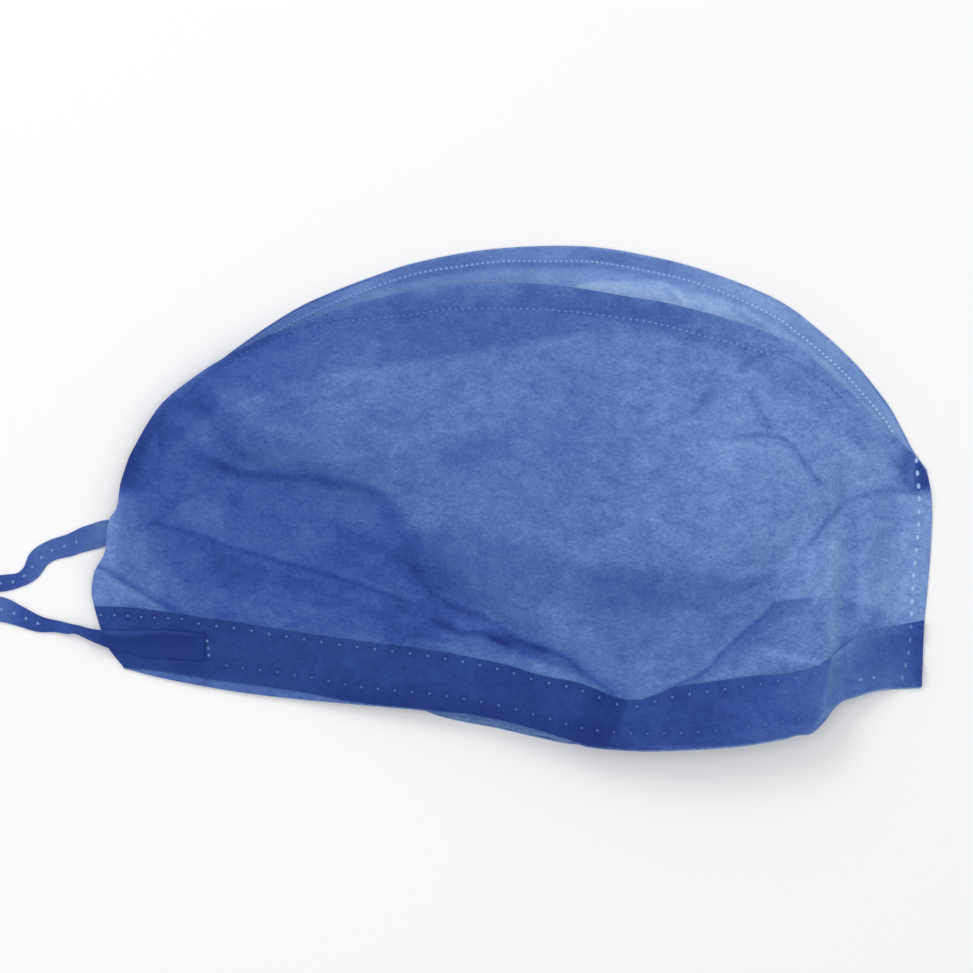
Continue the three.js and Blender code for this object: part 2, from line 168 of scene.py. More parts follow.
def outlines(cloth):
    """The closed boundary lines of a bmesh, counterclockwise from above, the one with the most
    points first."""
    left = {edge for edge in cloth.edges if edge.is_boundary}
    found = []
    while left:
        edge = left.pop()
        start, here = edge.verts
        line = [start.co[:2]]
        while here is not start:
            line.append(here.co[:2])
            edge = next(e for e in here.link_edges if e in left)
            left.remove(edge)
            here = edge.other_vert(here)
        line = np.array(line)
        after = np.roll(line, -1, axis=0)
        area = np.sum(line[:, 0] * after[:, 1] - line[:, 1] * after[:, 0]) / 2
        found.append(line if area > 0 else line[::-1])
    return sorted(found, key=len, reverse=True)


def four_sides(outline, corners):
    """Cuts an outline at the places nearest four corners, which go round counterclockwise
    from the back hem: gives the lower, front, upper and back lines."""
    at = [int(np.argmin(np.hypot(*(outline - corner).T))) for corner in mm(corners)]
    turned = np.roll(outline, -at[0], axis=0)
    turned = np.vstack([turned, turned[:1]])
    cuts = [(a - at[0]) % len(outline) for a in at] + [len(outline)]
    return [turned[a:b + 1] for a, b in zip(cuts, cuts[1:])]


CUT = {node: outlines(upper_faces(node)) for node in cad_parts}
far_leaf, near_leaf = sorted(CUT["crown_strip"], key=lambda line: -line[:, 1].max())
for node, lines in CUT.items():
    print(node, "outlines of", [len(line) for line in lines], "points")

# %% [markdown]
# ## A fine grid on every cloth
# The folds need more faces than the solids have, and subdividing would round the corners off.
# So each cloth is a fresh grid, spanned between the four sides of its cut like a soap film, and
# let down onto the solid, or onto the cloth below it.


# %% Smooth lines
def smoothly(keys, values, at):
    """Reads a smooth curve through the values given at the keys."""
    slopes = np.gradient(values, keys, axis=0)
    inside = np.clip(at, keys[0], keys[-1])
    i = np.clip(np.searchsorted(keys, inside) - 1, 0, len(keys) - 2)
    span = keys[i + 1] - keys[i]
    t = (inside - keys[i]) / span
    if values.ndim > 1:
        span, t = span[:, None], t[:, None]
    start = (1 + 2 * t) * (1 - t) ** 2 * values[i] + t * (1 - t) ** 2 * span * slopes[i]
    end = t * t * (3 - 2 * t) * values[i + 1] - t * t * (1 - t) * span * slopes[i + 1]
    return start + end


def along_x(x, keys, values):
    """A value that follows x, from values at places in millimetres."""
    return smoothly(mm(keys), np.array(values), x.ravel()).reshape(x.shape)


def lengths(line):
    """The distance run along a line at each of its points."""
    return np.concatenate([[0], np.cumsum(np.linalg.norm(np.diff(line, axis=0), axis=1))])


def spaced(line, count):
    """count + 1 places evenly along the smooth curve through a line's points."""
    run = lengths(line)
    return smoothly(run, line, np.linspace(0, run[-1], count + 1))


print("round each cut:", [round(lengths(lines[0])[-1], 2) for lines in CUT.values()], "m")

# %% [markdown]
# ## The patch between four sides
# Each column of places runs from the lower to the upper side, each row from back to front. The
# sum of the two rulings counts the corners twice, so they are taken off once.


# %% Patch
def cells(sides, pitch):
    """The columns and rows of cells of that size between four sides."""
    width = np.linalg.norm(spaced(sides[0], 20) - spaced(sides[2][::-1], 20), axis=1).max()
    return round(lengths(sides[0])[-1] / pitch), round(width / pitch)


def patch(sides, columns, rows):
    """Spans a grid of places between a lower, a front, an upper and a back line."""
    low = spaced(sides[0], columns)
    front = spaced(sides[1], rows)[:, None]
    high = spaced(sides[2][::-1], columns)
    back = spaced(sides[3][::-1], rows)[:, None]
    s = np.linspace(0, 1, columns + 1)[None, :, None]
    t = np.linspace(0, 1, rows + 1)[:, None, None]
    ruled = (1 - t) * low + t * high + (1 - s) * back + s * front
    corners = (1 - t) * ((1 - s) * low[0] + s * low[-1]) + t * ((1 - s) * high[0] + s * high[-1])
    return ruled - corners


CORNERS = mm([(0, 0), (9, 0), (9, 9), (0, 9), (0, 0)])
square = [CORNERS[i:i + 2] for i in range(4)]
print("a 9 mm square in 3 mm cells:", cells(square, 3 * MM))

# %% [markdown]
# ## Near a line, inside an outline
# A fold is a line that the cloth rises along, and a layer below shows as an area. Vertices could
# be pulled by hand, but measured from lines and outlines both stay put when the grid gets finer.


# %% Folds and areas
def step(value, start, end):
    """0 before start, 1 after end, and smooth between."""
    t = np.clip((value - start) / (end - start), 0, 1)
    return t * t * (3 - 2 * t)


def beside(line, places):
    """For each place, the share of the line's length run at the point nearest to it, and the
    distance from there, plus on the line's left."""
    nearest = np.full(places.shape[:-1], np.inf)
    share, side = np.zeros(nearest.shape), np.ones(nearest.shape)
    run = lengths(line)
    for a, b, start in zip(line, line[1:], run):
        along = b - a
        length = max(np.linalg.norm(along), 1e-9)
        t = np.clip((places - a) @ along / length ** 2, 0, 1)
        off = places - a - t[..., None] * along
        gap = np.linalg.norm(off, axis=-1)
        closer = gap < nearest
        nearest = np.where(closer, gap, nearest)
        share = np.where(closer, (start + t * length) / run[-1], share)
        turn = along[0] * off[..., 1] - along[1] * off[..., 0]
        side = np.where(closer, np.where(turn < 0, -1, 1), side)
    return share, nearest * side


def close_to(line, places, width):
    """1 on a line, fading over that width on either side."""
    return np.exp(-(beside(line, places)[1] / width) ** 2)


def cover(outline, places, blur):
    """1 where a place is inside an outline, 0 outside, blurred over that distance."""
    closed = np.vstack([outline, outline[:1]])
    inside = np.zeros(places.shape[:-1], bool)
    x, y = places[..., 0], places[..., 1]
    for a, b in zip(closed, closed[1:]):
        if a[1] != b[1]:
            crosses = (a[1] > y) != (b[1] > y)
            inside ^= crosses & (x < a[0] + (y - a[1]) * (b[0] - a[0]) / (b[1] - a[1]))
    depth = np.abs(beside(closed, places)[1])
    return step(np.where(inside, depth, -depth), -blur, blur)


def ridge(line, places, left, right):
    """1 on a line given in millimetres, fading over one width to its left and another to its
    right, and towards its two ends."""
    share, gap = beside(spaced(mm(line), 40), places)
    width = np.where(gap > 0, left, right) * MM
    ends = step(share, 0, 0.15) * step(1 - share, 0, 0.15)
    return np.exp(-(gap / width) ** 2) * ends


print("a fold one width off:", ridge([(0, 0), (9, 0)], mm([(4.5, 2)]), 2, 1).round(2))

# %% [markdown]
# ## Crumples and creases
# Limp cloth is never quite flat. Random vertices would make it look like gravel; smooth noise
# gives waves of one size, and the thin band where a noise crosses nought is a wandering crease.


# %% Crumples
def crumple(places, size, seed):
    """Soft random waves of about that size, from -1 to 1, the same on every run."""
    waves = np.empty(places.shape[:-1])
    for at in np.ndindex(waves.shape):
        x, y = places[at] / size
        waves[at] = noise.noise(Vector((x, y, seed)))
    return waves


def creases(places, size, width, seed):
    """Fine lines that wander over parts of a cloth, where soft random waves cross nought."""
    lines = np.exp(-(crumple(places, size, seed) / width) ** 2)
    return lines * step(crumple(places, size, seed + 50), -0.05, 0.3)


print("crumples run to", crumple(patch(square, 9, 9), 5 * MM, 1).max().round(2))

# %% [markdown]
# ## Along an edge
# Seams keep to the edge of a cloth at a depth that changes a little along it, and here and there
# the edge itself curls in. Both follow the edge by a short list of depths along X.


# %% Seams and rims
def beside_edge(edge, count, at_x, depths):
    """count + 1 places along an edge, moved into the cloth by a depth that follows x."""
    places = spaced(edge, count)
    along = np.gradient(places, axis=0)
    along /= np.linalg.norm(along, axis=1, keepdims=True)
    inward = np.stack([-along[:, 1], along[:, 0]], axis=1)
    depth = smoothly(mm(at_x), mm(depths), places[:, 0])
    return places + depth[:, None] * inward


MID_HEM = mm([-10, -60])
RIM_WIDTH = 6 * MM


def drawn_in(places, edge, at_x, depths):
    """Moves the places near an edge towards the middle of the hem by a depth that follows x."""
    near = close_to(edge, places, RIM_WIDTH)
    inward = MID_HEM - places
    inward /= np.linalg.norm(inward, axis=-1, keepdims=True)
    return places + (along_x(places[..., 0], at_x, depths) * MM * near)[..., None] * inward


def part_of(row, low, high):
    """The places of a row that lie between two x positions in millimetres."""
    return row[(row[:, 0] > low * MM) & (row[:, 0] < high * MM)]


inner = beside_edge(CORNERS[:2], 3, (0, 9), (1, 2)) / MM
print("a seam 1 to 2 mm inside an edge:", inner.round(1).tolist())

# %% [markdown]
# ## Letting a cloth down
# A simulation could drop each cloth, but slowly, and its folds would fall elsewhere. A ray cast
# straight down tells each place how high the thing below it lies.


# %% Heights
def let_down(below, places, missed=0.0):
    """The height at which each place meets the cloth or solid below it. Past its edge it is the
    height given as missed or, with None, that of the nearest point."""
    mesh = bmesh.new()
    mesh.from_mesh(below.data)
    surface = BVHTree.FromBMesh(mesh)
    heights = np.empty(places.shape[:-1])
    down = Vector((0, 0, -1))
    for at in np.ndindex(heights.shape):
        x, y = places[at]
        hit = surface.ray_cast(Vector((x, y, 1)), down)[0]
        if hit is None and missed is None:
            hit = surface.find_nearest(Vector((x, y, 0.01)))[0]
        heights[at] = missed if hit is None else hit.z
    return heights


def soften(heights, passes):
    """Evens out heights, which takes away the solid's facets."""
    for _ in range(passes):
        for axis in (0, 1):
            pad = [(1, 1) if a == axis else (0, 0) for a in (0, 1)]
            wide = np.pad(heights, pad, mode="reflect", reflect_type="odd")
            n = heights.shape[axis]
            before, after = wide.take(range(n), axis), wide.take(range(2, n + 2), axis)
            heights = (before + 2 * heights + after) / 4
    return heights


print("a lone peak evened out:", soften(np.eye(3), 1)[1])

# %% [markdown]
# ## Making a grid into cloth
# A grid is created flat and square, and every vertex is moved to its own place. A Solidify
# modifier adds the wall, so the mesh stays simple. Each vertex also carries a tone, from 0 for
# the darkest cloth to 1 for the palest.


# %% Cloth maker
PLY = 0.25 * MM


def finished(bm, name, tones, finish):
    """Turns a bmesh into a smooth object of one finish, with a tone at each vertex."""
    for face in bm.faces:
        face.smooth = True
    mesh = bpy.data.meshes.new(name)
    bm.to_mesh(mesh)
    bm.free()
    tone = mesh.attributes.new("tone", "FLOAT", "POINT")
    tone.data.foreach_set("value", np.array(tones, np.float32))
    mesh.materials.append(finish)
    return add_object(name, mesh)


def make_cloth(name, places, heights, tones, finish, thickness=PLY):
    """A cloth through a grid of places, with a height and a tone at each."""
    rows, columns = heights.shape[0] - 1, heights.shape[1] - 1
    bm = bmesh.new()
    bmesh.ops.create_grid(bm, x_segments=columns, y_segments=rows, size=0.5)
    for edge in bm.edges:
        edge.smooth = not edge.is_boundary
    # The grid is made 1 wide, so a vertex's place tells its row and its column.
    spots = [(round((v.co.y + 0.5) * rows), round((v.co.x + 0.5) * columns)) for v in bm.verts]
    for vert, spot in zip(bm.verts, spots):
        vert.co = (*places[spot], heights[spot])
    cloth = finished(bm, name, [tones[spot] for spot in spots], finish)
    wall = cloth.modifiers.new("wall", "SOLIDIFY")
    wall.thickness = thickness
    wall.offset = 0
    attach(cloth, "root")
    print(name, rows * columns, "faces, heights", np.round([heights.min() / MM, heights.max() / MM], 1))
    return cloth


# %% [markdown]
# ## Shader maths
# The finishes are worked out from positions and tones. Chains of Math nodes are hard to read,
# so a small class wraps a socket and turns + - * into nodes.


# %% Socket and finish classes
class Socket:
    """A shader value that can be used in a Python expression."""

    def __init__(self, finish, link):
        self.finish, self.link = finish, link

    def maths(self, operation, first, second):
        return self.finish.node("ShaderNodeMath", {"operation": operation}, {0: first, 1: second})

    def __add__(self, other):
        return self.maths("ADD", self, other)

    def __sub__(self, other):
        return self.maths("SUBTRACT", self, other)

    def __mul__(self, other):
        return self.maths("MULTIPLY", self, other)


class Finish:
    """A material, with one method that adds any node."""

    def __init__(self, name):
        self.material = bpy.data.materials.new(name)
        self.material.use_nodes = True
        self.tree = self.material.node_tree

    def node(self, kind, settings=None, sockets=None, output=0):
        made = self.tree.nodes.new(kind)
        for setting, value in (settings or {}).items():
            setattr(made, setting, value)
        self.feed(made.inputs, sockets or {})
        return Socket(self, made.outputs[output])

    def feed(self, inputs, values):
        for socket, value in values.items():
            if isinstance(value, Socket):
                self.tree.links.new(value.link, inputs[socket])
            else:
                inputs[socket].default_value = value

    def ramp(self, factor, stops):
        colours = self.node("ShaderNodeValToRGB", None, {0: factor})
        made = colours.link.node.color_ramp
        while len(made.elements) < len(stops):
            made.elements.new(0.5)
        for element, (position, code) in zip(made.elements, stops):
            element.position = position
            element.color = (*linear(code), 1)
        return colours


# %% [markdown]
# ## Bonded cloth
# Spun-bonded cloth is a web of fine threads pressed together while hot: matt, cloudy, and
# speckled with fibres close up. Laid double it is a deeper blue, as less of the pale table comes
# through. A see-through shader could show that, but it is slow and grainy. Here each vertex has
# a tone for the layers under it, with painted shade and painted light of the folds and billows
# added to it; three noises cloud it, and a ramp turns it into blue.

# %% Cloth finish
TONE_LOW, TONE_HIGH = -0.1, 1.3
CLOTH_BLUES = [(-0.1, "#192d6a"), (0.055, "#20367f"), (0.17, "#2d458f"), (0.27, "#38519f"),
               (0.41, "#4863ab"), (0.54, "#5774b6"), (0.66, "#6784c3"), (0.81, "#7a96d1"),
               (0.95, "#8aa8e0"), (1.3, "#bdd3f8")]
TONE_SPAN = TONE_HIGH - TONE_LOW
RAMP_STOPS = [((tone - TONE_LOW) / TONE_SPAN, code) for tone, code in CLOTH_BLUES]
DYE_TINTS = [(0.3, "#f5fff9"), (0.7, "#fffcfa")]
# How many waves a metre the noises have: short fibres, the web they form, its drift, the dye.
FIBRES, WEB, DRIFT, DYE = 1000, 190, 34, 75
# The sockets of a Mix node for two colours and for what they give.
MIX_A, MIX_B, MIXED = 6, 7, 2


def noise_of(finish, place, scale, detail, roughness, distortion=0):
    """A noise of so many waves a metre."""
    return finish.node("ShaderNodeTexNoise", None, {"Vector": place, "Scale": scale, "Detail": detail,
                                                    "Roughness": roughness, "Distortion": distortion})


def bonded_cloth(name, speckle, cloud, roughness):
    """Matt bonded cloth; speckle and cloud say how far its fibres and its unevenness show."""
    finish = Finish(name)
    place = finish.node("ShaderNodeTexCoord", output="Object")
    along = finish.node("ShaderNodeMapping", None, {
        "Vector": place, "Rotation": (0, 0, 0.12), "Scale": (0.75, 1, 1)})
    fibre = noise_of(finish, along, FIBRES, 4, 0.65)
    web = noise_of(finish, along, WEB, 4, 0.6, 0.5)
    drift = noise_of(finish, place, DRIFT, 2, 0.5)
    tone = finish.node("ShaderNodeAttribute", {"attribute_name": "tone"}, output="Fac")
    mottle = (fibre - 0.5) * speckle + (web - 0.5) * cloud + (drift - 0.5) * (cloud * 0.6)
    clouded = tone + mottle * (tone + 0.45)
    factor = (clouded - TONE_LOW) * (1 / TONE_SPAN)
    tint = finish.ramp(noise_of(finish, place, DYE, 3, 0.6), DYE_TINTS)
    colour = finish.node("ShaderNodeMix", {"data_type": "RGBA", "blend_type": "MULTIPLY"},
                         {0: 1, MIX_A: finish.ramp(factor, RAMP_STOPS), MIX_B: tint}, output=MIXED)
    finish.feed(finish.tree.nodes["Principled BSDF"].inputs,
                {"Base Color": colour, "Roughness": roughness, "Specular IOR Level": 0.15})
    return finish.material


PANEL_CLOTH = bonded_cloth("panel_cloth", speckle=0.55, cloud=0.40, roughness=0.85)
STRIP_CLOTH = bonded_cloth("strip_cloth", speckle=0.35, cloud=0.25, roughness=0.85)
BAND_CLOTH = bonded_cloth("band_cloth", speckle=0.40, cloud=0.40, roughness=0.8)
TIE_CLOTH = bonded_cloth("tie_cloth", speckle=0.30, cloud=0.30, roughness=0.8)
WELD_FILM = bonded_cloth("weld_film", speckle=0.10, cloud=0.10, roughness=0.45)
print("finishes:", sorted(finish.name for finish in bpy.data.materials if finish != table_paint))

# %% [markdown]
# ## Under the cap: the left tie and the left hem band
# The cloths are made in the order in which they lie. A tie is a strip with its edges folded to
# the middle, and a band is folded over once, so one thicker wall stands for their layers. The
# band rises over the end of the tie.

# %% Left tie and left band
SOLID_WALL = 1.2 * MM
FOLDED = 0.5 * MM
CLEAR = 0.1 * MM
TIE_HEIGHT = 0.3 * MM
LEFT_TIE_BEND = [(-158, -28), (-152, -21), (-147, -16), (-140, -14), (-132, -13)]


def on_solid(node, places):
    """The height of the middle of a solid's wall at each place."""
    top = let_down(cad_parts[node], places, missed=None)
    return top - SOLID_WALL / 2


left_tie_sides = four_sides(CUT["left_tie"][0], [(-165, -33), (-98, -28), (-94, -20), (-165, -27)])
for side in left_tie_sides:
    side[:, 1] -= 0.8 * MM * ridge(LEFT_TIE_BEND, side, 8, 8)
places = patch(left_tie_sides, *cells(left_tie_sides, 0.9 * MM))
shade = along_x(places[..., 0], (-166, -155, -148, -136, -129, -123, -118),
                (0.26, 0.28, 0.42, 0.39, 0.46, 0.58, 0.62))
heights = np.full(shade.shape, TIE_HEIGHT)
left_tie = make_cloth("left_tie_cloth", places, heights, shade, TIE_CLOTH, FOLDED)

band_sides = four_sides(CUT["left_hem_band"][0], [(-119, -27), (162, -66), (163, -44), (-119, -6)])
places = patch(band_sides, *cells(band_sides, 1.5 * MM))
heights = soften(let_down(left_tie, places) + FOLDED, 2) + CLEAR
shade = np.full(heights.shape, 0.3)
left_band = make_cloth("left_band_cloth", places, heights, shade, BAND_CLOTH, FOLDED)

# %% [markdown]
# ## The left side panel
# It lies flat on the table with its band under it. It is seen round the edges and, through the
# cloth above, as a deeper blue. It could be left smooth, but its rim shows, so it is crumpled
# and curls in a little, and its hem peeps out where the right band is narrow. There it is
# painted paler, as painted light against the shadow of the lifted right panel.

# %% Left panel
OVER_BAND = 0.45 * MM
RIM_X = (-65, -55, -45, -28, -20, -10, 145, 151, 156, 160, 163, 166)
RIM_DRAWN = (0, 0, 0.4, 0.4, 0, 0, 0, 0, 0.7, 1.1, 0.6, 0)
panel_sides = four_sides(CUT["left_side_panel"][0], [(-119, -27), (162, -66), (163, 10), (-109, 21)])
places = patch(panel_sides, *cells(panel_sides, 1.6 * MM))
places = drawn_in(places, panel_sides[2], RIM_X, RIM_DRAWN)
peeping = ridge([(-25, -74), (10, -81), (45, -88)], places, 7, 7)
places[..., 1] -= 0.5 * MM * peeping
heights = soften(let_down(left_band, places) + OVER_BAND, 2)
heights += 0.12 * MM * (1 + crumple(places, 9 * MM, 3))
shade = along_x(places[..., 0], (-118, -50, -30, 0, 163), (0.46, 0.46, 0.56, 0.66, 0.68))
shade += 0.03 * crumple(places, 20 * MM, 4) - 0.1 * cover(CUT["left_hem_band"][0], places, MM)
# Painted light where the hem peeps out, against the shadow of the lifted right panel.
shade += 0.15 * peeping
rim_light = along_x(places[..., 0], (70, 100, 135, 150), (0, 0.15, 0.12, 0))
shade += rim_light * close_to(panel_sides[2], places, 3 * MM)
left_panel = make_cloth("left_panel_cloth", places, heights, shade, PANEL_CLOTH)

# %% [markdown]
# ## The folds of the right side panel
# The cloth that is seen most takes its large waves from the solid, and folds come on top. A
# simulation would not let them fall where a packed cap has them. So each fold is a row of a
# table, with its line, how wide it is on either side, how much paler or, below nought, darker
# it is, and how far it rises. The paler and darker are painted: painted highlight where a fold
# stands up to the light, painted shade in its crease, and in part the layers below showing through.

# %% Folds of the right panel
def with_folds(folds, places, shade, heights):
    """Adds each fold's depth of shade and its lift to those of a cloth."""
    for line, left, right, depth, lift in folds.values():
        fold = ridge(line, places, left, right)
        shade = shade + depth * fold
        heights = heights + lift * MM * fold
    return shade, heights


BROW_FOOT = [(50, -65.6), (42, -60), (35, -54.5), (28, -52.5)]
NAPE = [(-108, -8), (-91, -13), (-77, -18), (-45, -27), (-10, -39)]
FRONT_HEM = [(64, -72.5), (74, -66), (85, -60.4), (91.4, -54), (98.4, -47.4), (106.4, -40.4), (109.6, -37),
             (112, -36.4), (119.4, -35.5), (127, -35.5)]
# Line, width on its left, width on its right, depth of painted shade (painted light above nought), lift.
PANEL_FOLDS = {
    "brow": (
        [(56, -70), (45, -62), (38, -57), (31, -52), (25, -51), (18, -48), (10, -43), (1, -39), (-8, -37),
        (-12, -32), (-15, -22), (-22, -8), (-27, 1), (-37, 5), (-56, 7), (-80, 10), (-98, 20), (-103, 31)],
        7, 1.5, -0.06, 0.9),
    "brow flank": ([(10, -43), (-5, -36), (-13, -28), (-20, -12)], 4, 6, -0.08, 0),
    "brow shoulder": ([(-33, 8), (-24, 4.5), (-19, 0), (-15, -6), (-13, -12)], 3, 3, 0.06, 0),
    "brow line": (
        [(60, -72), *BROW_FOOT, (21, -50), (14, -45), (7, -41), (0, -38.8), (-7, -35), (-16, -30)],
        0.8, 1.1, -0.1, 0.2),
    "brow foot": ([(58, -72), *BROW_FOOT, (22, -50.5)], 0.6, 1.4, -0.08, 0.1),
    "under the brow": (
        [(-12, -41), (-6.6, -43.6), (0.4, -47.1), (7.4, -47.4), (14.4, -49.8), (21.4, -52.8)],
        1.2, 1.3, -0.22, 0.3),
    "brow top line": (
        [(-104, 30), (-100, 26), (-91, 17), (-77, 9), (-53, 7), (-37, 5.4), (-27, 1.6), (-21, -7),
        (-17, -18)], 1.6, 2.4, -0.07, 0.2),
    "crown streak": ([(-93, 36), (-88, 30), (-80, 21), (-72, 12)], 1.0, 1.6, -0.07, 0.2),
    "crown layers": ([(-88, 41), (-73, 50), (-56, 57)], 5, 5, -0.06, 0),
    "nape low": (NAPE, 0.7, 8, -0.07, 0.4),
    "nape low edge": ([(-118, -3), *NAPE], 0.6, 0.8, -0.1, 0),
    "brow inner": (
        [(-54, -4), (-44, -10), (-34.6, -14.5), (-24, -19.5), (-13.7, -26), (-5, -36)], 2, 2.5, -0.08, 0),
    "brow top dark": ([(-90, 13.5), (-76.6, 8.9), (-59, 8.6), (-49, 6.8), (-42, 5)], 2, 2, -0.1, 0),
    "nape corner": ([(-97, 3), (-101, -3), (-108, -8)], 3, 2, -0.08, 0.3),
    "left hem": (
        [(-132, -20.5), (-120.4, -27.1), (-111.7, -32.4), (-102.9, -37.6), (-95.9, -41.1), (-90, -44)],
        1.4, 0.7, -0.23, 0.3),
    "crown rim": (
        [(-119, -1.5), (-118.5, 3), (-115.5, 17), (-107, 34), (-94, 48), (-78, 55.5), (-58, 66)],
        4, 5.5, -0.2, 0),
    "crown rim low": ([(-119, 0), (-117.5, 8), (-112, 24), (-107, 32)], 3, 9, -0.16, 0),
    "crown rim top": ([(-20, 74), (-4, 75.5), (10, 75.5), (24, 75)], 6, 8, 0.12, 0),
    "above the seam": ([(20, 67), (42, 66), (56, 65), (68, 63.5), (80, 60)], 4, 4, -0.03, 0),
    "dark by the seam": ([(52, 67), (60, 65.5), (70, 64), (82, 61)], 4, 3, -0.05, 0),
    "hem margin": ([(-112, -62), (-90, -65.5), (-72, -68), (-52, -71), (-34, -74)], 5, 5, -0.09, 0),
    "front hem": (FRONT_HEM, 0.7, 4, -0.1, 0.6),
    "front hem line": (FRONT_HEM, 0.5, 0.8, -0.12, 0),
    "front hem shine": ([(103, -52), (110, -54), (128, -58)], 1.2, 1.2, 0.11, 0),
    "front rise": (
        [(115, -22), (122, -15), (129, -7), (134, -2), (139, 0.2), (145, 2.1), (151, 3), (157, 2.5),
        (174, 1)], 0.8, 1.5, -0.17, 0.4),
    "front rise end": ([(143, 3), (149, 4.5), (156, 4.3), (163, 1.5)], 1.5, 2.5, -0.09, 0),
    "temple": (
        [(88, 20), (98, 21.5), (107.5, 22), (114.7, 19.5), (119.4, 13), (125, 6), (131, 2.5)],
        0.7, 1.4, -0.19, 0.5),
    "below the seam": ([(30, 58), (44, 59), (56, 58), (66, 56)], 3, 3, 0.05, 0),
    "temple high": ([(107, 52), (96, 43)], 1.5, 1.2, -0.13, 0.4),
    "temple high end": ([(89, 39), (80, 28)], 1.5, 1.2, -0.11, 0.3),
    "temple low": ([(100, 38), (104, 31), (109, 22)], 1.4, 1.8, -0.13, 0.4),
    "crown hollow": ([(-8, 11), (1, 15), (9, 18), (20, 20)], 6, 7, -0.11, -0.3),
    "above the corner": (
        [(130, -52), (136, -47.5), (142, -44.5), (150, -42.5), (158, -41)], 3.5, 3, -0.06, 0),
    "front pleat": (
        [(131.5, -5), (130.8, -23), (130.3, -35), (129.6, -52), (128.2, -64), (126.4, -78)],
        2.4, 2.4, 0.11, 0.8),
    "front pleat shade": ([(137.5, 0), (137.5, -20), (137.3, -34), (137, -48)], 2.5, 2.5, -0.09, 0),
}
print(len(PANEL_FOLDS), "folds on the right panel")

# %% [markdown]
# ## Where the right panel lies double or stands clear
# Where it touches a layer below, the cloth looks deeper; where it stands clear, paler. That
# could be reckoned from the gap alone, but the gap changes by hundredths of a millimetre. So
# each such zone is an outline with a blur and a depth of shade. That shade is partly the layers
# below and partly painted shade in the hollows and painted light on the billows.


# %% Zones of the right panel
def with_zones(zones, places, shade):
    """Adds each zone's depth of shade to that of a cloth."""
    for outline, blur, depth in zones.values():
        shade = shade + depth * cover(mm(outline), places, blur * MM)
    return shade
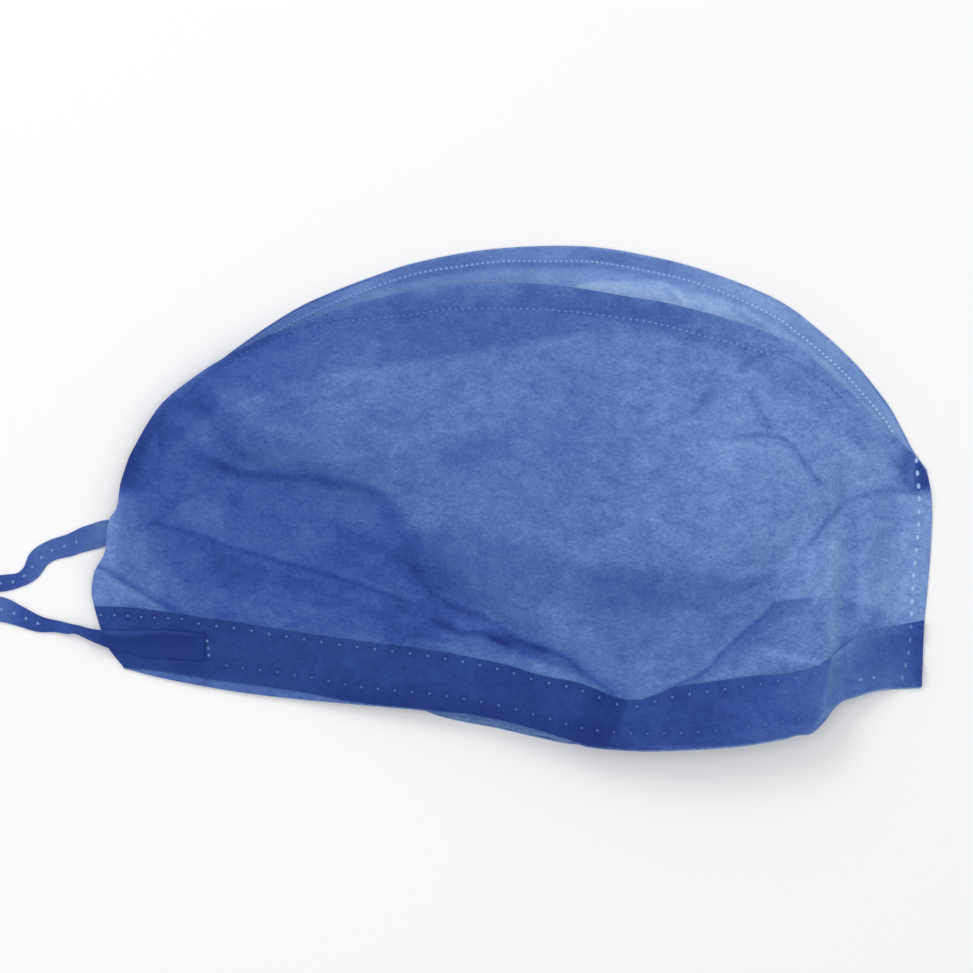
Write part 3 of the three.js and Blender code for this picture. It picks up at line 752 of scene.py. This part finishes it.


# Outline, blur, depth of shade, partly painted shade and painted light.
PANEL_ZONES = {
    "on the left panel": (
        [(-119, 3), (-103, 31), (-91, 39), (-83, 37), (-77, 25), (-64, 17), (-45, 12), (-28, 3), (-17, -8),
        (-7, -22), (4, -32), (21, -43), (39, -53), (58, -67), (14, -58), (-14, -53), (-56, -47),
        (-98, -41), (-127, -38)], 5, -0.12),
    "hollow by the brow": (
        [(-60, -12), (-28, -12), (-8, -36), (-14, -45), (-60, -40), (-80, -28)], 10, -0.05),
    "above the nape": ([(-105, -6), (-96, 1), (-86, -2), (-82, -10), (-92, -13), (-98, -9)], 4, 0.07),
    "above the nape line": ([(-82, 3), (-59, 3), (-52, -3), (-59, -15), (-77, -12)], 5, -0.07),
    "below the nape line": ([(-100, -14), (-94, -15), (-88, -20), (-94, -26), (-101, -22)], 3, 0.08),
    "below the left hem": (
        [(-129, -23), (-120.4, -28.2), (-111.7, -33.5), (-103, -38.7), (-97, -42), (-129, -40)], 0.8, 0.03),
    "over the left hem": ([(-113, -25), (-105, -27), (-96, -36), (-101, -36), (-112, -31)], 2, -0.04),
    "above the band": ([(-92, -30), (-60, -33), (-49, -39), (-62, -44), (-90, -39)], 3, 0.07),
    "quiet at the crown": ([(-63, 40), (-50, 40), (-50, 22), (-68, 24)], 5, -0.06),
    "clear at the crown": ([(-48, 53), (-20, 53), (-20, 43), (-46, 40)], 5, 0.07),
    "quiet in the middle": ([(48, 22), (78, 22), (79, 6), (48, 1)], 6, -0.06),
    "clear in the middle": ([(86, 21), (96, 19), (94, 10), (87, 10)], 3, 0.07),
    "by the temple": ([(95, 14), (108, 12), (106, -6), (96, -4)], 5, -0.05),
    "over the nape": ([(-38, -12), (-16, -14), (-10, -30), (-30, -32), (-60, -26)], 5, -0.05),
    "by the crown rim": ([(-105, 24), (-99, 29), (-91, 31), (-85, 24), (-88, 16), (-104, 15)], 3.5, 0.1),
    "crown end": ([(-84, 37), (-74, 39), (-69, 34), (-77, 30), (-84, 31)], 2.5, 0.12),
    "above the brow": (
        [(-16, -13), (-6, -12), (6, -13), (18, -17), (30, -17), (37, -22), (37, -32), (28, -36), (15, -37),
        (4, -34), (-8, -26)], 4, -0.11),
    "over the brow end": ([(-48, 16), (-36, 14), (-34, 8), (-46, 8)], 3, 0.05),
    "behind the brow": ([(-27, -35), (-12, -38), (-2, -45), (-7, -53), (-25, -50)], 4, -0.08),
    "by the front": ([(146, -20), (160, -20), (160, -41), (150, -41), (144, -36)], 3, 0.03),
    "over the front hem": ([(103, -8), (113, -9), (113, -16), (104, -17)], 2.5, 0.1),
    "by the pleat": ([(120, -34), (131, -34), (134, -44), (124, -44)], 2, -0.08),
    "at the brow foot": ([(9, -46), (14, -54), (25, -55), (33, -55), (28, -51), (19, -48)], 2, -0.12),
    "by the brow foot": ([(24, -56.5), (33, -58), (48, -65), (52, -68), (38, -64), (26, -60)], 1.2, 0.1),
    "by the hem": ([(-12, -50), (-3, -51), (4, -52.5), (14, -54), (26, -57), (35, -60), (50, -68), (35, -67),
        (14, -60)], 1.5, 0.12),
    "single at the nape": ([(-128, 0), (-117, 0), (-109, -12), (-99, -28), (-93, -38), (-130, -38)], 7, 0.25),
    "tucked wedge": ([(38, -22), (109, -28), (84, -40), (56, -38), (40, -34)], 2, -0.09),
    "lower front": (
        [(38, -34), (50, -24), (105, -24), (119, -36), (98, -50), (84, -64), (63, -67), (50, -57)],
        8, -0.11),
    "under the front hem": (
        [(112, -37), (127, -36), (131, -60), (112, -63), (100, -64), (92, -60), (84, -61), (92, -54),
        (98, -48)], 3, -0.11),
    "under the hem line": ([(93, -48), (100, -42), (109, -38), (114, -42), (110, -52), (97, -54)], 3, -0.07),
    "by the notch": ([(50, -57), (66, -57), (66, -66), (56, -66)], 4, 0.05),
    "above the pleat end": ([(132, -34), (148, -39), (146, -49), (133, -53)], 2.5, -0.12),
    "at the temple": ([(116, 53), (140, 36), (156, 18), (147, 10), (130, 27), (112, 45)], 5, 0.07),
    "front corner": (
        [(156.5, 21), (160, 18), (168, 16), (168, 3), (158, 3), (154, 5), (155.5, 12)], 2.4, -0.34),
    "by the front corner": ([(149, 22), (156, 23), (158, 14), (154, 8), (150, 12)], 3, -0.1),
    "corner flange": ([(160, 17), (168, 16), (168, 2), (159.5, 3)], 0.8, -0.28),
}
print(len(PANEL_ZONES), "zones on the right panel")

# %% [markdown]
# ## Edges that the right panel and its band share
# The cut leaves the hem a little full in the middle, and the front corner a little short. Both
# cloths end there together, so the same functions draw them.


# %% Shared edges
HEM_MIDDLE = [(-5, -77), (20, -83), (45, -88)]
FRONT_CORNER = [(114, -86), (122, -83), (129, -77), (138, -71)]
FRONT_EDGE = [(163, -69), (163, -50), (164, -35), (166, -15), (166, 3)]


def hem_lifted(places):
    """Draws the middle of the hem up, on the plan."""
    return places + mm([0, 0.8]) * ridge(HEM_MIDDLE, places, 7, 7)[..., None]


def front_filled(places):
    """Draws the lower front corner up and back, and the front edge out, on the plan."""
    places = places + mm([-0.5, 0.6]) * ridge(FRONT_CORNER, places, 5, 5)[..., None]
    return places + mm([0.5, 0]) * ridge(FRONT_EDGE, places, 5, 5)[..., None]


edge = mm([[164, -35]])
print("the front edge moves by", (front_filled(edge) - edge) / MM)

# %% [markdown]
# ## The right side panel
# Its near arc seam follows the crown side, and its front seam runs down the front. The panel is
# softened over the solid, laid on the left panel at the front, folded, shaded and crumpled, in
# that order, and never sinks into what lies below.

# %% Right panel
NEXT_PLY = PLY + CLEAR
NEAR_SPACING = 2.33 * MM
NEAR_X = (-112, -77, -45, -31, -20, -4, 6, 46, 60, 84, 109, 120, 161)
NEAR_DEPTHS = (3.5, 4, 5.7, 7.4, 8.3, 8.0, 8.5, 9.1, 8.6, 8.8, 7.5, 6.8, 6)
ARC_X = (-112, -100, -90, -80, -66, -50, -40, -30, -18, 0, 20, 45, 105, 112, 122, 130, 137, 144, 151, 158)
ARC_DRAWN = (0.3, 0.9, 1, 2, 2, 1.8, 1.2, 0.9, 0.2, 0, 0.1, 0.85, 0.6, 0.6, 1.6, 2.8, 2.8, 2.3, 1.6, 0.3)
FRONT_LINE = [(155, -63), (157, -55), (158, -46), (159, -28), (160.5, -14), (161, -1), (160, 13)]
panel_sides = four_sides(CUT["right_side_panel"][0], [(-117, -60), (162, -67), (161, 15), (-112, 21)])
near_arc = panel_sides[2]
near_seam = beside_edge(near_arc, round(lengths(near_arc)[-1] / NEAR_SPACING), NEAR_X, NEAR_DEPTHS)
front_seam = spaced(mm(FRONT_LINE), 17)
places = hem_lifted(patch(panel_sides, *cells(panel_sides, 1.0 * MM)))
places = front_filled(drawn_in(places, near_arc, ARC_X, ARC_DRAWN))
x = places[..., 0]
strip_below = cover(far_leaf, places, MM) + cover(near_leaf, places, MM)
layers = strip_below + cover(CUT["left_hem_band"][0], places, 1.5 * MM)
single = 1 - cover(CUT["left_side_panel"][0], places, 4 * MM)
heights = soften(on_solid("right_side_panel", places), 10)
floor = let_down(left_panel, places) + NEXT_PLY * (1 + strip_below)
heights += (floor - heights) * step(x, 138 * MM, 156 * MM)
# Paler towards the front: partly painted light that falls off towards the back, partly the layers lying
# closer at the back.
shade = along_x(x, (-118, -77, -42, 0, 42, 84, 120, 160), (0.42, 0.48, 0.53, 0.53, 0.56, 0.66, 0.74, 0.77))
shade += 0.05 * single - 0.06 * layers
shade, heights = with_folds(PANEL_FOLDS, places, shade, heights)
shade = with_zones(PANEL_ZONES, places, shade)
groove = close_to(near_seam, places, 1.3 * MM)
heights += 0.3 * MM * crumple(places, 10 * MM, 1) + 0.5 * MM * crumple(places, 24 * MM, 2)
for size, seed in ((22 * MM, 11), (34 * MM, 12)):
    fine = creases(places, size, 0.03, seed)
    heights += 0.15 * MM * fine
    # Painted shade in the fine creases.
    shade -= 0.05 * fine
heights = np.maximum(heights - 0.5 * MM * groove, floor)
shade -= 0.04 * groove
right_panel = make_cloth("right_panel_cloth", places, heights, shade, PANEL_CLOTH)

# %% [markdown]
# ## The crown strip
# It joins the two panels along their arcs. Here it is folded in half between them: one leaf
# lies on the left panel, the other climbs to the rim of the right panel. Both leaves come from
# the solid's upper faces, and they are stitched into one grid that turns round at the fold.

# %% Grid of the crown strip
FAR_SPACING = 1.87 * MM
FAR_X = (-105, -66, -34, -13, -3, 18, 28, 49, 60, 91, 112, 133, 143, 152)
FAR_DEPTHS = (2, 2.8, 3.5, 2.9, 3.5, 3.8, 4.4, 4.3, 4.4, 4.2, 4.8, 4.6, 4.2, 3.2)
far_sides = four_sides(far_leaf, [(-105, 13), (156, 9), (159, 17), (-105, 26)])
near_sides = four_sides(near_leaf, [(-105, 12), (156, 8), (156, 17), (-105, 30)])
far_arc = far_sides[2]
far_seam = beside_edge(far_arc, round(lengths(far_arc)[-1] / FAR_SPACING), FAR_X, FAR_DEPTHS)
columns, rows = cells(far_sides, 0.95 * MM)
far_places = drawn_in(patch(far_sides, columns, rows), far_arc, RIM_X, RIM_DRAWN)
near_places = drawn_in(patch(near_sides, columns, rows), near_arc, ARC_X, ARC_DRAWN)
share = np.linspace(0, 1, rows + 1)[:, None]
far_heights = let_down(left_panel, far_places) + NEXT_PLY
near_ceiling = let_down(right_panel, near_places, missed=None) - NEXT_PLY
fold_height = far_heights[0] + NEXT_PLY
near_heights = np.minimum(fold_height + (near_ceiling[-1] - fold_height) * share, near_ceiling)
places = np.concatenate([near_places[::-1], far_places])
heights = np.concatenate([near_heights[::-1], far_heights])
heights += 0.1 * MM * crumple(places, 12 * MM, 5)
print("crown strip:", columns, "by", 2 * rows + 1, "cells")

# %% [markdown]
# ## The shade of the crown strip
# It is a single cloth, so it is the palest of all. Past its seam lie two more allowances, which
# darken it by a depth that follows X. Where its edge is turned up it is paler.

# %% Crown strip
# Painted shade in the creases of two tucks.
STRIP_FOLDS = {
    "tuck": ([(71, 74), (80, 67)], 0.8, 0.8, -0.14, 0.3),
    "tuck below": ([(95, 67.5), (101, 63), (108, 59)], 0.8, 0.8, -0.12, 0.3),
}
STRIP_ZONES = {
    "turned up": ([(41, 74.2), (49, 75.6), (69, 76.2), (76.5, 73.5), (80, 68.5), (80, 63), (70, 66), (56, 68),
        (42, 71)], 0.5, 0.18),
    "turned up in front": (
        [(77, 72), (91, 70), (100, 66), (112, 59), (118, 55), (112, 53), (98, 58), (80, 62)], 1.2, 0.12),
}
FLANGE_X = (-105, -45, -32, -20, -10, 0, 8, 22, 35, 43, 63, 72, 85, 98, 112, 120, 128, 155)
FLANGE = (0.12, 0.08, 0, 0.06, 0.07, 0.09, 0.04, 0.01, -0.02, 0.1, 0.17, 0.14, 0.06, -0.06, -0.08, 0, 0, 0)
x = places[..., 0]
shade = along_x(x, (-60, -30, 0, 20, 40, 70, 85, 95, 130, 155),
                (0.58, 0.6, 0.61, 0.67, 0.7, 0.79, 0.83, 0.82, 0.8, 0.8))
rim_light = along_x(x, (-105, 90, 115, 156), (0.12, 0.12, 0.04, 0.04))
shade += rim_light * close_to(near_arc, places, 6 * MM)
shade, heights = with_folds(STRIP_FOLDS, places, shade, heights)
shade = with_zones(STRIP_ZONES, places, shade)
past_seam = -beside(far_seam, places)[1]
shade -= 0.05 * np.exp(-(past_seam / (1.5 * MM)) ** 2)
shade -= along_x(x, FLANGE_X, FLANGE) * step(past_seam, 0, MM)
lined = along_x(x, (-60, -30, 60, 80, 110), (0, 0.1, 0.1, 0.06, 0))
shade -= lined * np.exp(-((past_seam + 1.4 * MM) / (1.1 * MM)) ** 2)
before_seam = along_x(x, (98, 108, 118, 125, 140, 152), (0, 0, 0.08, 0.15, 0.17, 0.12))
shade += before_seam * step(-past_seam, 0.7 * MM, 2 * MM)
crown_strip = make_cloth("crown_strip_cloth", places, heights, shade, STRIP_CLOTH)

# %% [markdown]
# ## The right hem band
# The band is folded over the panel's edge and welded down, so it follows the panel's waves. It
# is the darkest cloth: two walls of its own and two or three below. Every weld of its two rows
# presses a dimple.

# %% Right band
BAND_BULGE = [(68, -67), (80, -65), (95, -63), (110, -60)]
OVER_PANEL = 0.5 * MM
DIMPLE_WIDTH, DIMPLE_DEPTH = 1.5 * MM, 0.2 * MM
band_sides = four_sides(CUT["right_hem_band"][0], [(-117, -59), (162, -66), (162, -43), (-128, -38)])
places = hem_lifted(patch(band_sides, *cells(band_sides, 0.9 * MM)))
places[..., 1] += 1.3 * MM * ridge(BAND_BULGE, places, 3, 3)
places = front_filled(places)
heights = soften(let_down(right_panel, places, missed=None), 4) + OVER_PANEL
back_row = beside_edge(band_sides[2], 124, (-128, -104, -97, 163), (3.0, 2.2, 1.3, 1.3))[1::2]
top_row = beside_edge(band_sides[2], 48, (-128, 163), (2.0, 2.2))
low_row = beside_edge(band_sides[0], 48, (-118, 163), (5.5, 5.5))
top_spots = [part_of(back_row, -127, -94), part_of(top_row, -92, 131), part_of(top_row, 140, 153)]
low_spots = [part_of(low_row, -84, 123)]
dimples = np.zeros(heights.shape)
for x, y in np.vstack(top_spots + low_spots):
    away = (places[..., 0] - x) ** 2 + (places[..., 1] - y) ** 2
    dimples += np.exp(-away / DIMPLE_WIDTH ** 2)
heights -= DIMPLE_DEPTH * dimples
# Painted highlights on the pleat, the soft top edge, the front corner and the folded lower edge; painted
# shade in the notch, beneath the tab and at its end, and along the lower edge.
BAND_FOLDS = {
    "notch": ([(59, -69), (55, -78), (49, -88)], 0.7, 12, -0.11, 0.3),
    "pleat": ([(131.5, -42), (130.6, -54), (128.6, -65), (125.5, -80)], 5, 1.2, 0.14, 0.5),
    "shadow under the tab": ([(-130, -56), (-112, -58), (-95, -59), (-80, -60)], 3, 3, -0.06, 0),
    "tab end": ([(-89, -45), (-88.5, -58)], 1, 1, -0.08, 0),
    "notch below": ([(4, -60), (20, -66), (32, -70)], 5, 5, -0.05, 0),
    "lower edge": ([(-55, -68), (-25, -73), (0, -76), (45, -85), (60, -86)], 7, 2, -0.11, 0),
    "soft top": (
        [(126, -56), (132, -52.5), (137, -49), (142, -46.4), (150, -44.6), (158, -43.4)], 1, 4.5, 0.12, 0),
    "corner light": ([(136, -65), (148, -64), (160, -64)], 4, 3, 0.06, 0),
    "bright edge": (
        [(60, -86.5), (95, -86), (122, -82), (126, -76), (140, -69), (165, -66)], 0.6, 1, 0.15, 0),
}
shade = along_x(places[..., 0], (-112, -84, -28, 14, 50, 60, 84, 105, 119, 131, 142, 154, 162),
                (0.16, 0.14, 0.17, 0.14, 0.16, 0.18, 0.18, 0.29, 0.37, 0.44, 0.39, 0.34, 0.2))
shade -= 0.06 * dimples
shade, heights = with_folds(BAND_FOLDS, places, shade, heights)
right_band = make_cloth("right_band_cloth", places, heights, shade, BAND_CLOTH, FOLDED)

# %% [markdown]
# ## The right tie
# Its end is a tab welded on the band, and its other end lies free. The tie follows its solid, and
# where the band is below it, it takes the band's height instead.

# %% Right tie
TIE_SAG = [(-138, -48), (-130, -50), (-122, -54), (-112, -56)]
OVER_TAB = 0.6 * MM
tie_sides = four_sides(CUT["right_tie"][0], [(-165, -43), (-89, -57), (-89, -47.5), (-164, -34)])
tie_sides[0][:, 1] += 1.1 * MM * ridge(TIE_SAG, tie_sides[0], 8, 8)
places = patch(tie_sides, *cells(tie_sides, 0.9 * MM))
on_band = cover(CUT["right_hem_band"][0], places, 3 * MM)
heights = soften(on_solid("right_tie", places), 4)
above = let_down(right_band, places, missed=None) + OVER_TAB
heights = np.maximum(heights + (above - heights) * on_band, TIE_HEIGHT)
# A painted highlight along the tab's top edge, and a painted shadow below it.
TIE_FOLDS = {
    "tab edge highlight": (
        [(-128, -46), (-119, -47.3), (-112, -47.3), (-107.5, -46.5), (-99, -47), (-89, -47.8)],
        0.8, 0.8, 0.14, 0.2),
    "tab shadow": (
        [(-128, -48), (-119, -49.5), (-112, -49.5), (-107, -48.5), (-97, -49), (-90, -49)],
        1.2, 2, -0.05, 0),
}
shade = along_x(places[..., 0], (-165, -158, -152, -143, -138, -132, -126, -120, -89),
                (0.42, 0.42, 0.25, 0.19, 0.25, 0.18, 0.11, 0.08, 0.06))
shade, heights = with_folds(TIE_FOLDS, places, shade, heights)
right_tie = make_cloth("right_tie_cloth", places, heights, shade, TIE_CLOTH, FOLDED)

# %% [markdown]
# ## Welds
# Nothing on the cap is sewn. A patterned wheel presses the layers together while it shakes
# them hot, and each of its teeth leaves a small smooth pale spot. Painted spots would not catch
# the light, so each is a flattened ball let into the cloth and turned along its row.

# %% Welds
def weld_spots(name, rows, cloths, size, at_x, shades):
    """Welds of a length, width and height along rows of places, on the uppermost cloth. Their
    shade follows x."""
    bm = bmesh.new()
    for row in rows:
        walls = [let_down(cloth, row) + cloth.modifiers["wall"].thickness / 2 for cloth in cloths]
        along = np.gradient(row, axis=0)
        turns = np.arctan2(along[:, 1], along[:, 0])
        for (x, y), z, turn in zip(row, np.max(walls, axis=0), turns):
            lie = Matrix.Translation((x, y, z)) @ Matrix.Rotation(turn, 4, "Z")
            shape = Matrix.Diagonal((*[side * MM for side in size], 1))
            bmesh.ops.create_uvsphere(bm, u_segments=8, v_segments=4, radius=0.5, matrix=lie @ shape)
    tones = along_x(np.array([vert.co.x for vert in bm.verts]), at_x, shades)
    welds = finished(bm, name, tones, WELD_FILM)
    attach(welds, "root")
    print(name, sum(map(len, rows)), "welds")
    return welds


near_welds = weld_spots("near_arc_welds", [part_of(near_seam, -82, 134)], [right_panel],
                        (1.2, 1.0, 0.25), (-82, -60, -50, -20, 28, 84, 102, 112, 122, 133),
                        (0.3, 0.4, 0.48, 0.56, 0.62, 0.75, 0.77, 0.74, 0.52, 0.45))
inner_depths = [depth + 1 for depth in FAR_DEPTHS]
inner_row = beside_edge(far_arc, 2 * (len(far_seam) - 1), FAR_X, inner_depths)[1::2]
far_welds = weld_spots("far_arc_welds", [part_of(far_seam, -72, 151.5)], [crown_strip],
                       (1.4, 1.2, 0.4), (-67, -30, 42, 84, 110, 154), (0.7, 0.84, 0.92, 1.0, 1.08, 1.14))
inner_welds = weld_spots("far_inner_welds", [part_of(inner_row, 98, 142)], [crown_strip],
                         (0.9, 0.8, 0.3), (98, 142), (0.92, 0.98))
over_band = front_seam[:, 1] < -44 * MM
front_welds = weld_spots("front_seam_welds", [front_seam[~over_band]], [right_panel],
                         (2.2, 1.4, 0.35), (150, 165), (1.1, 1.1))
front_pair = mm([(140, -63.5), (144.6, -62.8)])
corner_welds = weld_spots("front_band_welds", [front_seam[over_band], front_pair], [right_band],
                          (1.9, 1.2, 0.3), (139, 145, 155, 165), (0.75, 0.75, 0.62, 0.62))
top_welds = weld_spots("band_top_welds", top_spots, [right_band], (1.2, 1.1, 0.3), (-128, 163), (0.55, 0.5))
low_welds = weld_spots("band_low_welds", low_spots, [right_band], (1.2, 1.1, 0.3), (-128, 163), (0.4, 0.42))
tie_rows = []
for sides, end in ((left_tie_sides, -132), (tie_sides, -143)):
    middle = (spaced(sides[0], 17) + spaced(sides[2][::-1], 17)) / 2
    tie_rows.append(part_of(middle, -166, end))
tab_end = mm([(-88, -50), (-87.6, -52.6), (-87.4, -55)])
tie_welds = weld_spots("tie_welds", tie_rows + [tab_end], [left_tie, right_tie, right_band],
                       (1.4, 1.3, 0.35), (-166, -120, -87), (0.72, 0.68, 0.6))

# %% [markdown]
# ## What stands for what
# Each cloth replaces its solid, which is hidden but kept. Each row of the table gives a cloth,
# its solid, the solid's slot, the rectangle that its cut fits in, the area of the cut, whether
# it is laid or folded, what it rests on and its welds; only the solid is used here, to hide it.
# The bands and ties have one thick wall, which stands for two.

# %% Sheets
SHEETS = [
    (left_tie, "left_tie", "tie_cloth", (0.01, 0.078), 0.00063, "laid", ["table"], []),
    (left_band, "left_hem_band", "band_cloth", (0.027, 0.285), 0.0068, "folded", ["table", left_tie], []),
    (left_panel, "left_side_panel", "panel_cloth", (0.29, 0.175), 0.0381, "laid", ["table", left_band], []),
    (crown_strip, "crown_strip", "strip_cloth", (0.05, 0.31), 0.012, "folded", [left_panel],
     [far_welds, inner_welds]),
    (right_panel, "right_side_panel", "panel_cloth", (0.29, 0.175), 0.0381, "laid",
     [left_panel, crown_strip], [near_welds, front_welds]),
    (right_band, "right_hem_band", "band_cloth", (0.025, 0.285), 0.0059, "folded", [right_panel],
     [top_welds, low_welds, corner_welds]),
    (right_tie, "right_tie", "tie_cloth", (0.01, 0.08), 0.0006, "laid", [right_band, "table"], [tie_welds]),
]
for cloth, node, slot, flat, area, held, rests_on, welds in SHEETS:
    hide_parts(node)
    for piece in [cloth] + welds:
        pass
print("sheets:", [(sheet[0].name, sheet[3]) for sheet in SHEETS])
